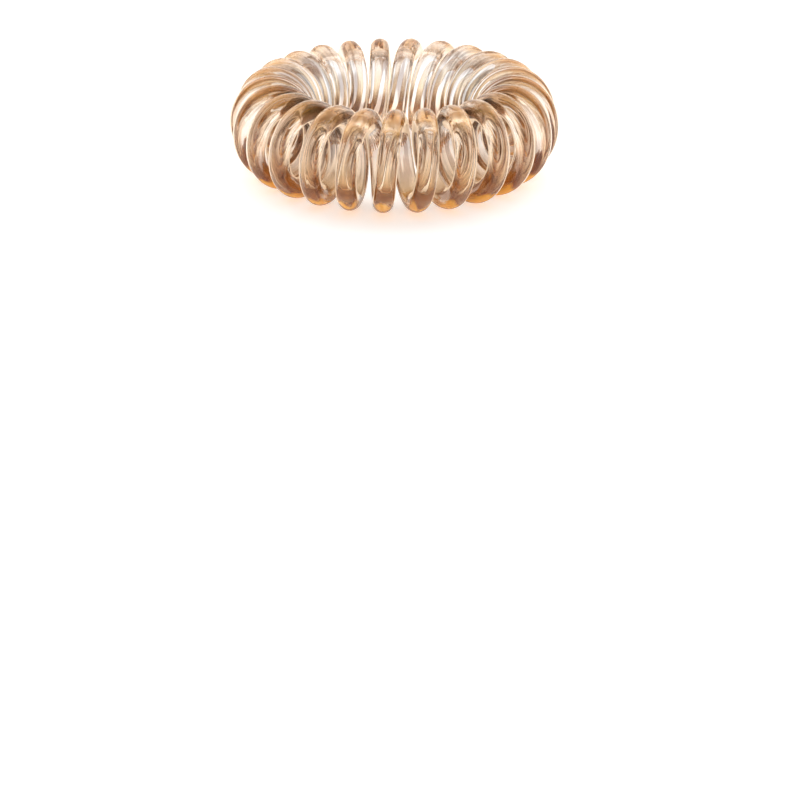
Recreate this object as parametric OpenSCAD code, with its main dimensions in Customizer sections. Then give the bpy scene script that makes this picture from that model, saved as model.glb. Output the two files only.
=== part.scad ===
// Spiral hair tie: one round plastic wire, wound into a coil of upright turns,
// and the coil closed into a ring whose ends are fused into one endless wire.
// The ring lies flat on z = 0, on the lowest point of every turn, and is
// centred on x = y = 0. Its front is at -y. All lengths are in millimetres.

/* [Wire] */
// Diameter of the wire
wire_d = 3.3; // [2.4:0.1:4.2]
// Clear gap between neighbouring turns, where they crowd on the inside of the ring
turn_gap = 0.1; // [0.1:0.02:1]

/* [Coil] */
// Number of turns round the ring
turns = 25; // [16:1:26]
// Width of the coil over the wire, from the inside to the outside of the ring
coil_w = 14; // [11:0.1:20]
// Height of the coil over the wire
coil_h = 15.9; // [11:0.1:22]
// Share of one turn's step round the ring that its outer side makes
outer_share = 0.38; // [0.3:0.01:0.6]

/* [Mesh] */
// Flat sides round the wire
wire_sides = 10; // [8:2:12]
// Sections along one turn
turn_sections = 20; // [12:4:20]

/* [Hidden] */

// Honey-coloured clear plastic
honey = [0.91, 0.74, 0.54, 0.75];

// Half axes of the oval that the wire's centre follows in one turn
turn_rx = (coil_w - wire_d) / 2;
turn_rz = (coil_h - wire_d) / 2;

// Angle round the ring from one turn to the next
turn_step = 360 / turns;

// Lean of the wire where it is innermost: its travel round the ring over its
// rise, for each millimetre of radius there
inner_lean = ring_speed(0.5) / (2 * PI * turn_rz);

// The innermost wire centres lie on the circle that leaves the clear gap,
// measured square to the leaning wire
inner_pitch = wire_d + turn_gap;
inner_r = inner_pitch
    / sqrt(pow(2 * sin(turn_step / 2), 2) - pow(inner_pitch * inner_lean, 2));
ring_r = inner_r + turn_rx;

// Along the wire, one unit of u is one turn: 0 is outermost, 0.25 on top,
// 0.5 innermost and 0.75 underneath.
sections = turns * turn_sections;
top_u = 0.25;

// Angle round the ring, from the front, with a turn's top at the very front
function ring_angle(u) =
    turn_step * (u - top_u + (outer_share - 0.5) / 2 * (sin(360 * u) - 1));

// How fast that angle grows along the wire, in radians a turn
function ring_speed(u) =
    PI / 180 * turn_step * (1 + PI * (outer_share - 0.5) * cos(360 * u));

// Unit vectors out of the ring and along it, at one angle round it
function ring_out(angle) = [sin(angle), -cos(angle), 0];
function ring_along(angle) = [cos(angle), sin(angle), 0];

// Distance of the wire's centre from the ring's axis
function wire_r(u) = ring_r + turn_rx * cos(360 * u);

// Centre of the wire
function wire_centre(u) =
    wire_r(u) * ring_out(ring_angle(u))
    + [0, 0, coil_h / 2 + turn_rz * sin(360 * u)];

// Direction of the wire, from its speed out of the ring, along it and up
function wire_direction(u) =
    let(
        angle = ring_angle(u),
        out_speed = -2 * PI * turn_rx * sin(360 * u),
        along_speed = wire_r(u) * ring_speed(u),
        up_speed = 2 * PI * turn_rz * cos(360 * u)
    )
    unit(out_speed * ring_out(angle) + along_speed * ring_along(angle) + [0, 0, up_speed]);

// Direction away from the turn's middle, square to the wire
function wire_normal(u) =
    let(
        away = turn_rz * cos(360 * u) * ring_out(ring_angle(u))
            + [0, 0, turn_rx * sin(360 * u)],
        along = wire_direction(u)
    )
    unit(away - (away * along) * along);

function unit(v) = v / norm(v);

// Corners of the round section at u
function wire_section(u) =
    let(
        centre = wire_centre(u),
        normal = wire_normal(u),
        side = cross(wire_direction(u), normal)
    )
    [
        for (k = [0:wire_sides - 1])
            let(a = 360 * k / wire_sides)
            centre + wire_d / 2 * (cos(a) * normal + sin(a) * side)
    ];

// Number of corner k in section i, with both running on past their last one
function corner(i, k) = (i % sections) * wire_sides + k % wire_sides;

// The endless wire: sections joined by two triangles on each flat side
module coil() {
    corners = [
        for (i = [0:sections - 1])
            each wire_section(i / turn_sections)
    ];
    triangles = [
        for (i = [0:sections - 1], k = [0:wire_sides - 1])
            each [
                [corner(i, k), corner(i + 1, k), corner(i + 1, k + 1)],
                [corner(i, k), corner(i + 1, k + 1), corner(i, k + 1)]
            ]
    ];
    color(honey)
        polyhedron(points = corners, faces = triangles, convexity = 10);
}

coil();
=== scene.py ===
# %% [markdown]
# # A spiral hair tie of clear, honey-coloured plastic
#
# The real thing is one piece: a round plastic wire, wound like a telephone cord, with its two
# ends fused so that the coil closes into a ring. The construction model already holds its true
# form with flat-sided wire. This lesson winds the same wire again with a smooth round surface,
# casts it in tinted clear plastic, and lights it so that the plastic shows what it does to light.
# Much of that light and shade is also painted into the plastic's colour.
#
# The frame is loaded first. It gives the construction model at its real size, in metres, and
# every new piece is made in that same frame, so nothing is fitted afterwards.

# %% Load the frame
import math

import bpy
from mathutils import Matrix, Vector
from mathutils.kdtree import KDTree


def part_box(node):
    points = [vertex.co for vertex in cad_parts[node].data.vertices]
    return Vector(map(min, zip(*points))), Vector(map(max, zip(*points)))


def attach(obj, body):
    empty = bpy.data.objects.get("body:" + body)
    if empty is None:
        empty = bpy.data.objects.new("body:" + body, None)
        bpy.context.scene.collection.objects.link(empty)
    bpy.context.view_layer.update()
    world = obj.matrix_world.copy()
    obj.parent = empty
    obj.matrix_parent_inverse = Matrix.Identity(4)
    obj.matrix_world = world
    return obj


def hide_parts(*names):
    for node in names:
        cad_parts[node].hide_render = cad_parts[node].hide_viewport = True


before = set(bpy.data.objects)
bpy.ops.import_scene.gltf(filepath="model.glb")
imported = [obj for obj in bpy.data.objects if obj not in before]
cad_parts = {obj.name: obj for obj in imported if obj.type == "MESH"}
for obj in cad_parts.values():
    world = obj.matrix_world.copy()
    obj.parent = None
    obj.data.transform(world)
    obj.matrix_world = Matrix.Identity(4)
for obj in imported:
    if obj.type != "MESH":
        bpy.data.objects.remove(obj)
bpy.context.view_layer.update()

MM = 0.001  # in metres, the frame's unit

coil_low, coil_high = (Vector(corner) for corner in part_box("coil"))
print("the coil's box in mm:", [round(side / MM, 2) for side in coil_high - coil_low])

# %% [markdown]
# A few sizes drive everything. The coil's height comes from the frame. The rest repeats the
# construction model's own driving sizes, because a box can't tell how thick the wire is or how
# many turns it makes.
#
# The turns crowd on the inside of the ring, so the radius there follows from how many of them
# have to stand side by side, and the ring's radius follows from that.

# %% Sizes of the wire, the turns and the ring
WIRE_D = 3.3 * MM
TURN_GAP = 0.1 * MM  # between neighbours, where they crowd on the inside of the ring
TURNS = 25
COIL_W = 14.0 * MM
OUTER_SHARE = 0.38  # of one turn's step round the ring, on its outer side

coil_h = coil_high.z - coil_low.z
turn_rx = (COIL_W - WIRE_D) / 2
turn_rz = (coil_h - WIRE_D) / 2
turn_step = 2 * math.pi / TURNS

lean = turn_step * (1 + math.pi * (0.5 - OUTER_SHARE)) / (2 * math.pi * turn_rz)
inner_pitch = WIRE_D + TURN_GAP
inner_r = inner_pitch / math.sqrt((2 * math.sin(turn_step / 2)) ** 2 - (inner_pitch * lean) ** 2)
ring_r = inner_r + turn_rx
coil_length = 2 * math.pi * ring_r
pitch = coil_length / TURNS
print(f"ring radius {ring_r / MM:.2f} mm, pitch {pitch / MM:.2f} mm at the middle of the coil")

# %% [markdown]
# The camera comes next, so that each step can be looked at from where the photograph was taken.
# Long lenses keep the far side of a ring nearly as large as the near side, and that is how this
# one was taken: from about 18 degrees above the table. The tie sits high in the square frame,
# so the camera looks at a point on the table in front of it, and needs no shift.

# %% Camera at the photograph's angle
FRAME_PX = 800
TIE_CENTRE_PX = (394.1, 122.0)
TIE_WIDTH_PX = 326.6
LENS_PX = 2400  # focal length, counted in pixels of the frame
SENSOR = 36.0  # width in millimetres, as on a full-frame camera
NEAREST_SEEN = 0.01  # metres in front of the lens
ELEVATION = math.radians(18.2)

tie_centre = Vector((0, 0, coil_h / 2))
tie_width = 2 * (ring_r + turn_rx) + WIRE_D
distance = tie_width / TIE_WIDTH_PX * LENS_PX
view_from = Vector((0, -math.cos(ELEVATION), math.sin(ELEVATION)))

bpy.ops.object.camera_add(location=tie_centre + distance * view_from)
camera = bpy.context.object
camera.name = "photo_camera"
camera.data.sensor_width = SENSOR
camera.data.lens = SENSOR * LENS_PX / FRAME_PX
camera.data.clip_start = NEAREST_SEEN
turned_down = math.atan((FRAME_PX / 2 - TIE_CENTRE_PX[1]) / LENS_PX)
turned_right = math.atan((FRAME_PX / 2 - TIE_CENTRE_PX[0]) / LENS_PX)
camera.rotation_euler = (math.pi / 2 - ELEVATION - turned_down, 0, -turned_right)
bpy.context.scene.camera = camera
print(f"the camera stands {distance:.3f} m away, with a {camera.data.lens:.0f} mm lens")

# %% [markdown]
# Operators act on whatever is selected, and the loaded nodes still are. Four small helpers keep
# that in hand. They clear the selection, select one piece alone, work on it in edit mode and
# leave that again, and apply one of its modifiers.

# %% Selection and edit mode helpers
def deselect_all():
    bpy.ops.object.select_all(action="DESELECT")


def make_active(piece):
    deselect_all()
    piece.select_set(True)
    bpy.context.view_layer.objects.active = piece


def in_edit_mode(piece, *steps):
    """Runs each step in edit mode with all of the piece selected."""
    make_active(piece)
    bpy.ops.object.mode_set(mode="EDIT")
    for step in steps:
        bpy.ops.mesh.select_all(action="SELECT")
        step()
    bpy.ops.object.mode_set(mode="OBJECT")


def apply_modifier(piece, name):
    make_active(piece)
    bpy.ops.object.modifier_apply(modifier=name)


# %% [markdown]
# The wire could be a circle swept by the Screw modifier and then bent into a ring. Bending
# squeezes what is inside and stretches what is outside, though, so that wire would come out
# thinner on the inside of the ring. The real wire is bent cold and stays round everywhere. So
# only its centre line is wound and bent here, and the line gets its thickness at the very end.
#
# The line starts as a single vertex on top of the coil: a small plane merged to its centre. The
# Screw modifier turns it round the X axis and carries it along at the same time.

# %% Wind the centre line
TURN_POINTS = 64

deselect_all()
bpy.ops.mesh.primitive_plane_add(size=WIRE_D, location=(0, 0, turn_rz))
wire = bpy.context.object
wire.name = "spiral_wire"
bpy.ops.object.transform_apply(location=True)
in_edit_mode(wire, lambda: bpy.ops.mesh.merge(type="CENTER"))

screw = wire.modifiers.new("turns", "SCREW")
screw.axis = "X"
screw.angle = -2 * math.pi
screw.screw_offset = pitch
screw.iterations = TURNS
screw.steps = TURN_POINTS
screw.render_steps = TURN_POINTS
apply_modifier(wire, "turns")
xs = [v.co.x for v in wire.data.vertices]
print(len(wire.data.vertices), "points wound over", round((max(xs) - min(xs)) / MM, 2), "mm")

# %% [markdown]
# A turn of this tie isn't a circle: it stands taller than it is wide. So the line is narrowed in
# Y, from the height's radius to the width's.

# %% Narrow the turns to an oval
def narrow_turns():
    bpy.ops.transform.resize(value=(1, turn_rx / turn_rz, 1), center_override=(0, 0, 0))


in_edit_mode(wire, narrow_turns)
ys = [v.co.y for v in wire.data.vertices]
print("the line of each turn is now", round((max(ys) - min(ys)) / MM, 2), "mm wide")

# %% [markdown]
# Each turn also leans. From outside, the front strands lean a little to the right, because the
# outer side of a turn makes less than half of the step to the next one, and the inner side makes
# the rest. A shear does this. The shear operator needs a window, so a lattice does it here: a
# box of eight points round the coil, with its lower four pushed along. Linear interpolation
# makes that a true shear.

# %% Lean the turns with a lattice
deselect_all()
bpy.ops.object.add(type="LATTICE", location=(coil_length / 2, 0, 0))
cage = bpy.context.object
cage.scale = (coil_length, 2 * turn_rx, 2 * turn_rz)
for axis in "uvw":
    setattr(cage.data, f"interpolation_type_{axis}", "KEY_LINEAR")
bottom_push = (1 - 2 * OUTER_SHARE) / 2 * pitch
for point in cage.data.points:
    if point.co.z < 0:
        point.co_deform.x += bottom_push / coil_length
bpy.context.view_layer.update()

leaning = wire.modifiers.new("lean", "LATTICE")
leaning.object = cage
apply_modifier(wire, "lean")
bpy.data.objects.remove(cage)
print(f"the lowest points moved {bottom_push / MM:.2f} mm along the coil")

# %% [markdown]
# The straight coil is now exactly as long as the ring is round, so bending it by a full circle
# brings its ends together. Simple Deform bends about Z and keeps what lies at the origin in its
# place, so the ring is moved to stand centred on the origin, on the table. Then the two end
# points are merged, as the two ends of the real wire are fused.

# %% Bend the coil into a ring and close it
SAME_POINT = 0.01 * MM  # points nearer than this are one point

ring = wire.modifiers.new("ring", "SIMPLE_DEFORM")
ring.deform_method = "BEND"
ring.deform_axis = "Z"
ring.angle = 2 * math.pi
apply_modifier(wire, "ring")
gap = (wire.data.vertices[0].co - wire.data.vertices[-1].co).length
print(f"the ends meet within {gap / MM:.4f} mm")


def stand_on_table():
    bpy.ops.transform.translate(value=(0, -ring_r, coil_h / 2))


def fuse_ends():
    bpy.ops.mesh.remove_doubles(threshold=SAME_POINT)


in_edit_mode(wire, stand_on_table, fuse_ends)
print(len(wire.data.vertices), "points and", len(wire.data.edges), "edges in one loop")

# %% [markdown]
# Before the line gets its thickness, it is held against the construction model. Every corner of
# the flat-sided wire there should lie half a wire away from this line, and a line wound the
# wrong way round, or out of step by a part of a turn, would show at once.

# %% Check the line against the construction model
AWAY = 2  # find gives a point, its number and how far away it is

line = KDTree(len(wire.data.vertices))
for vertex in wire.data.vertices:
    line.insert(vertex.co, vertex.index)
line.balance()
cad_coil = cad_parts["coil"]
corners = [cad_coil.matrix_world @ v.co for v in cad_coil.data.vertices]
reach = [line.find(corner)[AWAY] for corner in corners]
print(f"the model's corners lie {min(reach) / MM:.3f} to {max(reach) / MM:.3f} mm from the line")

# %% [markdown]
# A curve takes a round bevel that stays square to the line, which is just what drawn wire does.
# So the line becomes a curve, the curve gets half the wire's thickness as its bevel, and the
# result becomes a mesh again, smooth shaded.

# %% Give the line its round section
SECTION_RINGS = 8  # bevel resolution: 20 sides round the wire

make_active(wire)
bpy.ops.object.convert(target="CURVE")
wire.data.dimensions = "3D"
wire.data.twist_mode = "MINIMUM"
wire.data.bevel_depth = WIRE_D / 2
wire.data.bevel_resolution = SECTION_RINGS
bpy.ops.object.convert(target="MESH")
bpy.ops.object.shade_smooth()

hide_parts("coil")
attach(wire, "root")
print(len(wire.data.polygons), "faces, uv maps:", [layer.name for layer in wire.data.uv_layers])
print("wire box in mm:", [round(side / MM, 2) for side in wire.dimensions])

# %% [markdown]
# Materials are written as sums. One small class wraps a socket, so that `1 - mask` or
# `mask * 0.3` adds the Math node that it stands for, and one method makes any other node from
# its type, its settings and its inputs.

# %% Shader sums
class Socket:
    """One output of a node, on which Python's + - * and abs() work as Math nodes."""

    def __init__(self, recipe, output):
        self.recipe = recipe
        self.output = output

    def other(self, name):
        """Another output of the same node."""
        return Socket(self.recipe, self.output.node.outputs[name])

    def math(self, operation, *values):
        inputs = dict(enumerate(values))
        return self.recipe.node("ShaderNodeMath", {"operation": operation}, inputs)

    def __add__(self, other):
        return self.math("ADD", self, other)

    def __radd__(self, other):
        return self.math("ADD", other, self)

    def __sub__(self, other):
        return self.math("SUBTRACT", self, other)

    def __rsub__(self, other):
        return self.math("SUBTRACT", other, self)

    def __mul__(self, other):
        return self.math("MULTIPLY", self, other)

    def __rmul__(self, other):
        return self.math("MULTIPLY", other, self)

    def __abs__(self):
        return self.math("ABSOLUTE", self)


class Recipe:
    """The nodes of one material, or of the room's light."""

    def __init__(self, owner):
        owner.use_nodes = True
        self.tree = owner.node_tree
        self.tree.nodes.clear()

    def node(self, kind, settings=None, inputs=None, output=0):
        """Adds a node, gives it its settings and then its inputs, and returns one output."""
        node = self.tree.nodes.new(kind)
        for name, value in (settings or {}).items():
            if name == "rows":
                fill_ramp(node.color_ramp, value)
            else:
                setattr(node, name, value)
        for name, value in (inputs or {}).items():
            if isinstance(value, Socket):
                self.tree.links.new(value.output, node.inputs[name])
            else:
                node.inputs[name].default_value = value
        return Socket(self, node.outputs[output]) if node.outputs else None


def fill_ramp(ramp, rows):
    """Each row has a place, then a colour or a grey, and may end with an alpha."""
    while len(ramp.elements) < len(rows):
        ramp.elements.new(0.5)  # for now, and the next loop gives each its place
    for element, (place, colour, *alpha) in zip(ramp.elements, rows):
        red_green_blue = colour if isinstance(colour, tuple) else (colour, colour, colour)
        element.position = place
        element.color = (*red_green_blue, *(alpha or [1]))


# %% [markdown]
# Four short helpers follow: a mix of two colours, a product of two, a smooth rise from 0 to 1,
# and a colour that follows the rows of a table.

# %% Helpers for colours and masks
MIX_A, MIX_B, MIX_RESULT = 6, 7, 2  # the colour sockets of a Mix node, by number


def mix(recipe, share, first, second):
    """A colour that goes from the first to the second as the share goes from 0 to 1."""
    settings = {"data_type": "RGBA"}
    inputs = {0: share, MIX_A: first, MIX_B: second}
    return recipe.node("ShaderNodeMix", settings, inputs, MIX_RESULT)


def tint(recipe, share, colour, by):
    """The first colour, multiplied by the second as far as the share says."""
    settings = {"data_type": "RGBA", "blend_type": "MULTIPLY"}
    inputs = {0: share, MIX_A: colour, MIX_B: by}
    return recipe.node("ShaderNodeMix", settings, inputs, MIX_RESULT)


def rise(recipe, value, low, high):
    """0 below low, 1 above high, and smooth between them."""
    return recipe.node(
        "ShaderNodeMapRange",
        {"interpolation_type": "SMOOTHSTEP"},
        {"Value": value, "From Min": low, "From Max": high},
    )


def by_rows(recipe, value, rows):
    """The colour, or the grey, that the table's rows give for the value."""
    return recipe.node("ShaderNodeValToRGB", {"rows": rows}, {"Fac": value})


# %% [markdown]
# The plastic is clear polyurethane with a little honey-coloured dye. In the photograph its
# colour isn't even, though, because a clear wire gathers the colours of what lies round it. Low
# down on the outside it glows golden, with brown patches just above that. The middle is a pale
# peach and the tops are amber. On the side of the hole the wire is nearly colourless, crossed by
# grey-brown lines.
#
# A lamp and a white table alone can't give all that. So tables of colours paint it in: besides
# the dye's own tint, they hold painted light and shade. Each row has a height, as a share of the
# coil's, and the colour there. The body's rows are for the open part of each strand, and the
# edge's rows are for the painted dark lines of shade along its sides. The last table is painted
# light and shade so thick that it hides what is behind it: a painted golden glow low down,
# painted brown shade just above it and painted amber at the tops. It ends each row with how
# much of it there is.

# %% Colours by height
# Partly the dye's own tint, partly painted: a golden glow low down, brown shade just above it
OUTSIDE_BODY = [
    (0.00, (1.00, 0.77, 0.40)),
    (0.15, (1.00, 0.77, 0.40)),
    (0.21, (0.88, 0.66, 0.46)),
    (0.32, (1.00, 0.84, 0.62)),
    (0.50, (1.00, 0.95, 0.83)),
    (0.66, (0.99, 0.98, 0.96)),
    (0.95, (0.98, 0.94, 0.89)),
]
# Partly the dye's own tint, partly painted light and shade: warm low down, grey higher up
INSIDE_BODY = [
    (0.00, (1.00, 0.82, 0.52)),
    (0.14, (0.96, 0.77, 0.55)),
    (0.42, (0.95, 0.83, 0.73)),
    (0.60, (0.88, 0.89, 0.92)),
    (0.90, (0.88, 0.87, 0.88)),
]
# Painted dark lines of shade along the outer strands' sides, by height
OUTSIDE_EDGE = [
    (0.00, (0.72, 0.40, 0.12)),
    (0.13, (0.72, 0.40, 0.12)),
    (0.20, (0.40, 0.25, 0.18)),
    (0.45, (0.76, 0.54, 0.38)),
    (0.68, (0.74, 0.64, 0.56)),
    (0.85, (0.68, 0.60, 0.54)),
    (0.97, (0.58, 0.38, 0.21)),
]
# Painted grey-brown lines of shade along the sides that face the hole, by height
INSIDE_EDGE = [
    (0.00, (0.70, 0.44, 0.22)),
    (0.15, (0.50, 0.36, 0.25)),
    (0.35, (0.30, 0.25, 0.22)),
    (0.60, (0.30, 0.28, 0.27)),
    (0.88, (0.36, 0.34, 0.33)),
    (1.00, (0.42, 0.34, 0.29)),
]
# Painted light and shade that hides the clear plastic: golden glow, brown shade, amber tops
PAINTED_GLOW_AND_SHADE = [
    (0.00, (1.00, 0.49, 0.08), 0.76),
    (0.14, (1.00, 0.49, 0.08), 0.76),
    (0.18, (0.34, 0.13, 0.07), 0.60),
    (0.24, (0.34, 0.15, 0.08), 0.46),
    (0.36, (0.45, 0.22, 0.12), 0.00),
    (0.74, (0.55, 0.32, 0.19), 0.00),
    (0.84, (0.80, 0.46, 0.18), 0.10),
    (0.92, (1.00, 0.58, 0.16), 0.34),
    (0.97, (0.80, 0.42, 0.13), 0.42),
]

# %% [markdown]
# These rows are read at a point's height, and blended from the inside's to the outside's with
# its distance from the ring's axis. The same distance tells which faces look into the coil from
# the hole's side. Other strands show in them, and thin painted dark lines of shade stand for them.
#
# Wire drawn through a die has fine ridges along it, and dye is never stirred in quite evenly.
# Both are noise, stretched along the wire by its UV map. A map has two sides that meet, and
# plain noise would jump there. So the map's second number is turned into an angle, and the noise
# is read on a circle, where it meets itself.

# %% Places and noise on the wire
TURNOVER = 2 * MM  # each way from the coil's middle, where the inside becomes the outside
CORE_FROM, CORE_TO = 5.4 * MM, 4.2 * MM  # in from the coil's middle
CORE_LOW, CORE_HIGH = 0.10, 0.35  # of the coil's height
NOISE_SCALE, NOISE_DETAIL, NOISE_ROUGHNESS = 1.0, 1.0, 0.5
NOISE_MIDDLE = 0.5  # noise runs from 0 to 1


def height_outside_core(recipe):
    """The height, and how far a point is outside, and how far it looks into the coil."""
    point = recipe.node("ShaderNodeTexCoord", output="Object")
    height = recipe.node("ShaderNodeSeparateXYZ", inputs={0: point}, output="Z") * (1 / coil_h)
    flat = recipe.node("ShaderNodeVectorMath", {"operation": "MULTIPLY"}, {0: point, 1: (1, 1, 0)})
    radius = recipe.node("ShaderNodeVectorMath", {"operation": "LENGTH"}, {0: flat}, "Value")
    outside = rise(recipe, radius, ring_r - TURNOVER, ring_r + TURNOVER)
    behind = rise(recipe, radius, ring_r - CORE_FROM, ring_r - CORE_TO)
    core = behind * (1 - outside) * rise(recipe, height, CORE_LOW, CORE_HIGH)
    return height, outside, core


def noise_along_wire(recipe, along_count, round_count):
    """Noise with about so many waves along the whole wire, and round it."""
    uv = recipe.node("ShaderNodeTexCoord", output="UV")
    split = recipe.node("ShaderNodeSeparateXYZ", inputs={0: uv}, output="X")
    angle = split.other("Y") * (2 * math.pi)
    reach = round_count / (2 * math.pi)
    spot = recipe.node(
        "ShaderNodeCombineXYZ",
        inputs={
            "X": split * along_count,
            "Y": recipe.node("ShaderNodeMath", {"operation": "COSINE"}, {0: angle}) * reach,
            "Z": recipe.node("ShaderNodeMath", {"operation": "SINE"}, {0: angle}) * reach,
        },
    )
    return recipe.node(
        "ShaderNodeTexNoise",
        inputs={
            "Vector": spot,
            "Scale": NOISE_SCALE,
            "Detail": NOISE_DETAIL,
            "Roughness": NOISE_ROUGHNESS,
        },
    )


# %% [markdown]
# A clear rod squeezes what lies beside it into dark lines along its sides. Here that is the next
# turn. So painted dark lines of shade stand for it, placed by how far the surface turns towards
# its neighbour: the dot product of its normal and the direction round the ring. That is 0 where
# the surface looks straight out of its own turn, and 1 where it looks at the next one.
#
# One row of numbers along it puts a faint painted line at six tenths and a strong one at eight
# tenths. Beyond them the colour is painted palest: painted light for the white that the plastic
# gathers from between the turns.

# %% Lines beside the neighbours
UPWARDS = (0, 0, 1)
LINES = [
    (0.00, 0.00),
    (0.50, 0.00),
    (0.56, 0.30),
    (0.65, 0.22),
    (0.69, 0.04),
    (0.75, 0.06),
    (0.79, 1.00),
    (0.87, 0.90),
    (0.90, 0.15),
    (1.00, 0.10),
]
# painted light on the sides that face the next turn
PALE_FROM, PALE_TO = 0.80, 0.97
PAINTED_LIGHT_SIDE = (0.99, 0.97, 0.96, 1)


def lines_and_pale_sides(recipe):
    """The painted shade of the lines, and the painted light of the sides, that face the next turn.
    """
    point = recipe.node("ShaderNodeTexCoord", output="Object")
    cross = {"operation": "CROSS_PRODUCT"}
    round_ring = recipe.node("ShaderNodeVectorMath", cross, {0: UPWARDS, 1: point})
    unit = recipe.node("ShaderNodeVectorMath", {"operation": "NORMALIZE"}, {0: round_ring})
    normal = recipe.node("ShaderNodeTexCoord", output="Normal")
    dot = {"operation": "DOT_PRODUCT"}
    sideways = abs(recipe.node("ShaderNodeVectorMath", dot, {0: normal, 1: unit}, "Value"))
    return by_rows(recipe, sideways, LINES), rise(recipe, sideways, PALE_FROM, PALE_TO)


# %% [markdown]
# Seen at a flat angle, clear plastic changes. A line of sight then follows the wire a long way
# through its dye, so the turns look amber where their tops bend away from the eye. And along its
# very outline each strand in the photograph has a thin cream rim. It is light that ran along
# inside the wire and leaves at a flat angle, as it does at the edge of a pane of glass. Hundreds
# of bounces would be needed to trace it, so a thin pale coat with a faint glow stands for it.
#
# Layer Weight tells both, as it does for glass. Its Facing is 0 where the surface looks straight
# at the eye and 1 on the outline. Where the wire runs towards the eye, at the top and bottom of
# its turns, all of it is seen at a flat angle. There the rim starts later, by a table of heights,
# or the whole strand would turn pale. Right at the bottom it is brown and doesn't glow, because
# the golden bottoms in the photograph end in a thin dark line.

# %% Rims and amber tops
EVEN_BLEND = 0.5  # Facing is then 1 minus the cosine between the normal and the eye
RIM_START = [
    (0.00, 0.68),
    (0.10, 0.68),
    (0.16, 0.72),
    (0.22, 0.72),
    (0.30, 0.65),
    (0.40, 0.56),
    (0.52, 0.51),
    (0.74, 0.51),
    (0.90, 0.72),
    (0.96, 0.86),
]
RIM_SOFT = 0.06  # of Facing, over which the rim comes in
# The rim is a painted highlight: a pale cream coat along each strand's outline
RIM_SHARE = 0.72
RIM_CREAM = (1.0, 0.88, 0.72, 1)
# and a painted glow, though the rim is no lamp
RIM_GLOW = (0.34, 0.27, 0.19, 1)
NO_GLOW = (0, 0, 0, 1)
# Painted shade: at the very bottom the rim is a thin dark line
RIM_BROWN = (0.14, 0.06, 0.03, 1)
BROWN_TO, CREAM_FROM = 0.12, 0.20  # of the coil's height
FLAT_FROM, FLAT_TO = 0.05, 0.33  # of Facing
# Painted amber at the tops where they bend away from the eye, for light through much dye
TOP_FROM, TOP_TO = 0.76, 0.92  # of the coil's height
TOP_INSIDE = (0.88, 0.79, 0.72, 1)
TOP_OUTSIDE = (1.00, 0.66, 0.36, 1)


def rim_and_flat(recipe, height, normal):
    """How much of the painted rim highlight there is, and how flat the angle of view is."""
    inputs = {"Blend": EVEN_BLEND, "Normal": normal}
    facing = recipe.node("ShaderNodeLayerWeight", inputs=inputs, output="Facing")
    rim = rise(recipe, facing - by_rows(recipe, height, RIM_START), 0, RIM_SOFT)
    return rim, rise(recipe, facing, FLAT_FROM, FLAT_TO)


# %% [markdown]
# Now the parts come together. One shader is the clear plastic: it bends light by 1.5, as
# polyurethane does, and tints what passes. The other is painted light and shade for what the
# wire gathers, golden, brown or amber, with the painted rim highlight on top, and a Mix Shader
# lays it over the first. The dye itself is in the wire's depth. Volume Absorption takes four
# times as much green and eight times as much blue as red from each metre of the way, so a long
# way through the plastic comes out honey-coloured.

# %% Honey-coloured clear plastic
PLASTIC_IOR = 1.5
PLASTIC_ROUGHNESS = 0.02
ABSORPTION = (2.0, 8.0, 16.0)  # red, green and blue taken by each metre of plastic
RIDGES = (100, 12)  # waves along the whole wire, and round it
RIDGE_HEIGHT = 0.11 * MM
STREAKS = (75, 5)
STREAK_FROM, STREAK_TO = 0.40, 0.62
STREAK_CLEAR = (1.0, 0.99, 0.98, 1)
STREAK_DYED = (0.99, 0.93, 0.86, 1)
# Painted dark lines of shade on the faces that look into the coil, where the ridges rise
CORE_LINES_FROM, CORE_LINES_TO = 0.50, 0.58
PAINTED_CORE_SHADE = (0.44, 0.36, 0.33, 1)
PATCHY = 0.28  # how far uneven dye shifts the tables of colours up and down
INSIDE_SHARE = 0.3  # the inside gathers so much of what the outside does
PALE_LESS = 0.5  # and the pale sides gather less by so much


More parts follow.
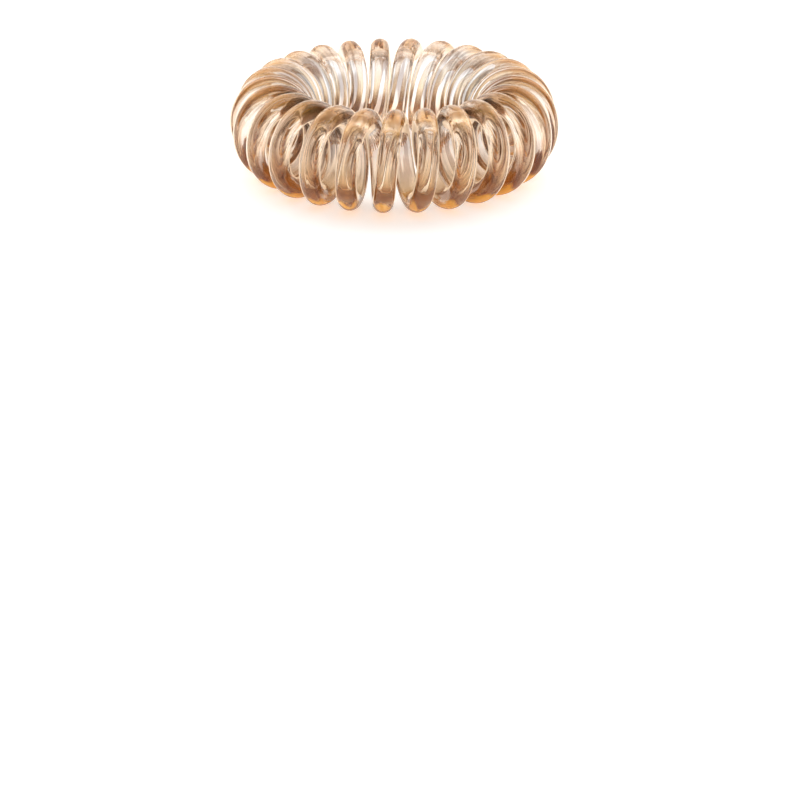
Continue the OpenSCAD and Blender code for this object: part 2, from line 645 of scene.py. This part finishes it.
def honey_plastic():
    material = bpy.data.materials.new("honey_plastic")
    recipe = Recipe(material)
    level, outside, core = height_outside_core(recipe)
    dye = noise_along_wire(recipe, *STREAKS)
    height = level + (dye - NOISE_MIDDLE) * PATCHY
    ridges = noise_along_wire(recipe, *RIDGES)
    inputs = {"Height": ridges, "Distance": RIDGE_HEIGHT}
    normal = recipe.node("ShaderNodeBump", inputs=inputs)
    line, pale = lines_and_pale_sides(recipe)
    rim, flat = rim_and_flat(recipe, level, normal)

    inside_body = by_rows(recipe, height, INSIDE_BODY)
    body = mix(recipe, outside, inside_body, by_rows(recipe, height, OUTSIDE_BODY))
    streak_share = rise(recipe, dye, STREAK_FROM, STREAK_TO)
    body = tint(recipe, outside, body, mix(recipe, streak_share, STREAK_CLEAR, STREAK_DYED))
    # painted light on the sides that face the next turn
    body = mix(recipe, pale, body, PAINTED_LIGHT_SIDE)
    # painted dark lines of shade on the faces that look into the coil
    painted_core_lines = core * rise(recipe, ridges, CORE_LINES_FROM, CORE_LINES_TO)
    body = tint(recipe, painted_core_lines, body, PAINTED_CORE_SHADE)
    # painted amber at the tops, seen at a flat angle
    top = rise(recipe, height, TOP_FROM, TOP_TO) * flat
    body = tint(recipe, top, body, mix(recipe, outside, TOP_INSIDE, TOP_OUTSIDE))
    # the edge colours are painted dark lines of shade along the strands' sides
    inside_edge = by_rows(recipe, height, INSIDE_EDGE)
    edge = mix(recipe, outside, inside_edge, by_rows(recipe, height, OUTSIDE_EDGE))
    clear = recipe.node(
        "ShaderNodeBsdfPrincipled",
        inputs={
            "Base Color": mix(recipe, line, body, edge),
            "Roughness": PLASTIC_ROUGHNESS,
            "IOR": PLASTIC_IOR,
            "Transmission Weight": 1.0,
            "Normal": normal,
        },
    )

    # painted golden glow, brown shade and amber tops, and how much of the clear plastic they hide
    painted_glow_and_shade = by_rows(recipe, height, PAINTED_GLOW_AND_SHADE)
    painted_share = painted_glow_and_shade.other("Alpha") * (outside * (1 - INSIDE_SHARE) + INSIDE_SHARE)
    painted_share = painted_share * (1 - pale * PALE_LESS)
    # painted rim highlight along the outline, brown painted shade at the bottom
    coat = rim * RIM_SHARE
    raised = rise(recipe, level, BROWN_TO, CREAM_FROM)
    rim_colour = mix(recipe, raised, RIM_BROWN, RIM_CREAM)
    # painted light and shade laid over the clear plastic, with the rim's painted glow
    hiding = recipe.node(
        "ShaderNodeBsdfPrincipled",
        inputs={
            "Base Color": mix(recipe, coat, painted_glow_and_shade, rim_colour),
            "Roughness": PLASTIC_ROUGHNESS,
            "IOR": PLASTIC_IOR,
            "Emission Color": mix(recipe, rim * raised, NO_GLOW, RIM_GLOW),
            "Emission Strength": 1.0,
            "Normal": normal,
        },
    )
    hidden = 1 - (1 - painted_share) * (1 - coat)
    surface = recipe.node("ShaderNodeMixShader", inputs={0: hidden, 1: clear, 2: hiding})

    density = max(ABSORPTION)
    let_through = [1 - taken / density for taken in ABSORPTION]
    inputs = {"Color": (*let_through, 1), "Density": density}
    depth = recipe.node("ShaderNodeVolumeAbsorption", inputs=inputs)
    recipe.node("ShaderNodeOutputMaterial", inputs={"Surface": surface, "Volume": depth})
    # The rim's glow is too faint to be sampled as a lamp.
    material.cycles.emission_sampling = "NONE"
    return material


wire.data.materials.clear()
wire.data.materials.append(honey_plastic())
print("nodes in the plastic:", len(wire.data.materials[0].node_tree.nodes))

# %% [markdown]
# The tie was photographed on white. Most of what is seen through its strands is the table just
# behind them, so the table matters more than the lamps do. It is a light table: a matt white
# sheet with an even glow of its own, which fills the clear strands with white. It is wide enough
# that no view of the tie finds its edge.

# %% White table
TABLE_SIZE = 6.0
TABLE_WHITE = (0.93, 0.93, 0.93, 1)
TABLE_ROUGHNESS = 0.6
TABLE_SHINE = 0.2
TABLE_GLOW = 0.42
GLOW_WHITE = (1, 1, 1, 1)


def white_table():
    material = bpy.data.materials.new("white_table")
    recipe = Recipe(material)
    surface = recipe.node(
        "ShaderNodeBsdfPrincipled",
        inputs={
            "Base Color": TABLE_WHITE,
            "Roughness": TABLE_ROUGHNESS,
            "Specular IOR Level": TABLE_SHINE,
            "Emission Color": GLOW_WHITE,
            "Emission Strength": TABLE_GLOW,
        },
    )
    recipe.node("ShaderNodeOutputMaterial", inputs={"Surface": surface})
    return material


deselect_all()
bpy.ops.mesh.primitive_plane_add(size=TABLE_SIZE)
table = bpy.context.object
table.name = "table"
table.data.materials.append(white_table())
print(f"the table is {table.dimensions.x:.0f} m wide")

# %% [markdown]
# Clear plastic has hardly any look of its own. It shows the room, bent and squeezed, so the room
# is built like a photographer's: a bright backdrop behind the tie, a pale ceiling, and dim, warm
# sides and front, which draw the darker lines. Two large soft boxes hang a little behind the
# tie, up on the left and on the right, and put soft highlights on the tops of the turns.

# %% Room and lights
SIDES = (0.20, 0.16, 0.13, 1)
BACKDROP = (1.10, 1.08, 1.06, 1)
CEILING = (0.55, 0.55, 0.55, 1)
BACKDROP_FROM, BACKDROP_TO = 0.25, 0.50  # of the direction's Y, towards the back
CEILING_FROM, CEILING_TO = 0.45, 0.80  # of the direction's Z, upwards
SOFT_BOX_SIZE = 0.7
SOFT_BOX_WATTS = 1.2
SOFT_BOX_OUT, SOFT_BOX_BACK, SOFT_BOX_UP = 0.45, 0.35, 0.55


def light_room():
    world = bpy.data.worlds.new("studio_room")
    bpy.context.scene.world = world
    recipe = Recipe(world)
    direction = recipe.node("ShaderNodeTexCoord", output="Generated")
    back = recipe.node("ShaderNodeSeparateXYZ", inputs={0: direction}, output="Y")
    walls = mix(recipe, rise(recipe, back, BACKDROP_FROM, BACKDROP_TO), SIDES, BACKDROP)
    room = mix(recipe, rise(recipe, back.other("Z"), CEILING_FROM, CEILING_TO), walls, CEILING)
    light = recipe.node("ShaderNodeBackground", inputs={"Color": room})
    recipe.node("ShaderNodeOutputWorld", inputs={"Surface": light})


def soft_box(name, place):
    bpy.ops.object.light_add(type="AREA", location=place)
    lamp = bpy.context.object
    lamp.name = name
    lamp.data.shape = "SQUARE"
    lamp.data.size = SOFT_BOX_SIZE
    lamp.data.energy = SOFT_BOX_WATTS
    lamp.rotation_euler = Vector(place).to_track_quat("Z", "Y").to_euler()


light_room()
soft_box("soft_box_left", (-SOFT_BOX_OUT, SOFT_BOX_BACK, SOFT_BOX_UP))
soft_box("soft_box_right", (SOFT_BOX_OUT, SOFT_BOX_BACK, SOFT_BOX_UP))

# %% [markdown]
# Light that crosses a coil passes through many faces before it leaves. Blender's usual twelve
# bounces would end most of those ways in black, so the scene allows more. The photograph is
# crisp, so the Standard view takes a look with a little more contrast.

# %% Long light paths and crisp colours
LONG_PATH = 40
SHINE_PATH = 12

scene = bpy.context.scene
scene.cycles.max_bounces = LONG_PATH
scene.cycles.transmission_bounces = LONG_PATH
scene.cycles.glossy_bounces = SHINE_PATH
scene.view_settings.view_transform = "Standard"
scene.view_settings.look = "Medium High Contrast"
print("light may bounce", scene.cycles.max_bounces, "times")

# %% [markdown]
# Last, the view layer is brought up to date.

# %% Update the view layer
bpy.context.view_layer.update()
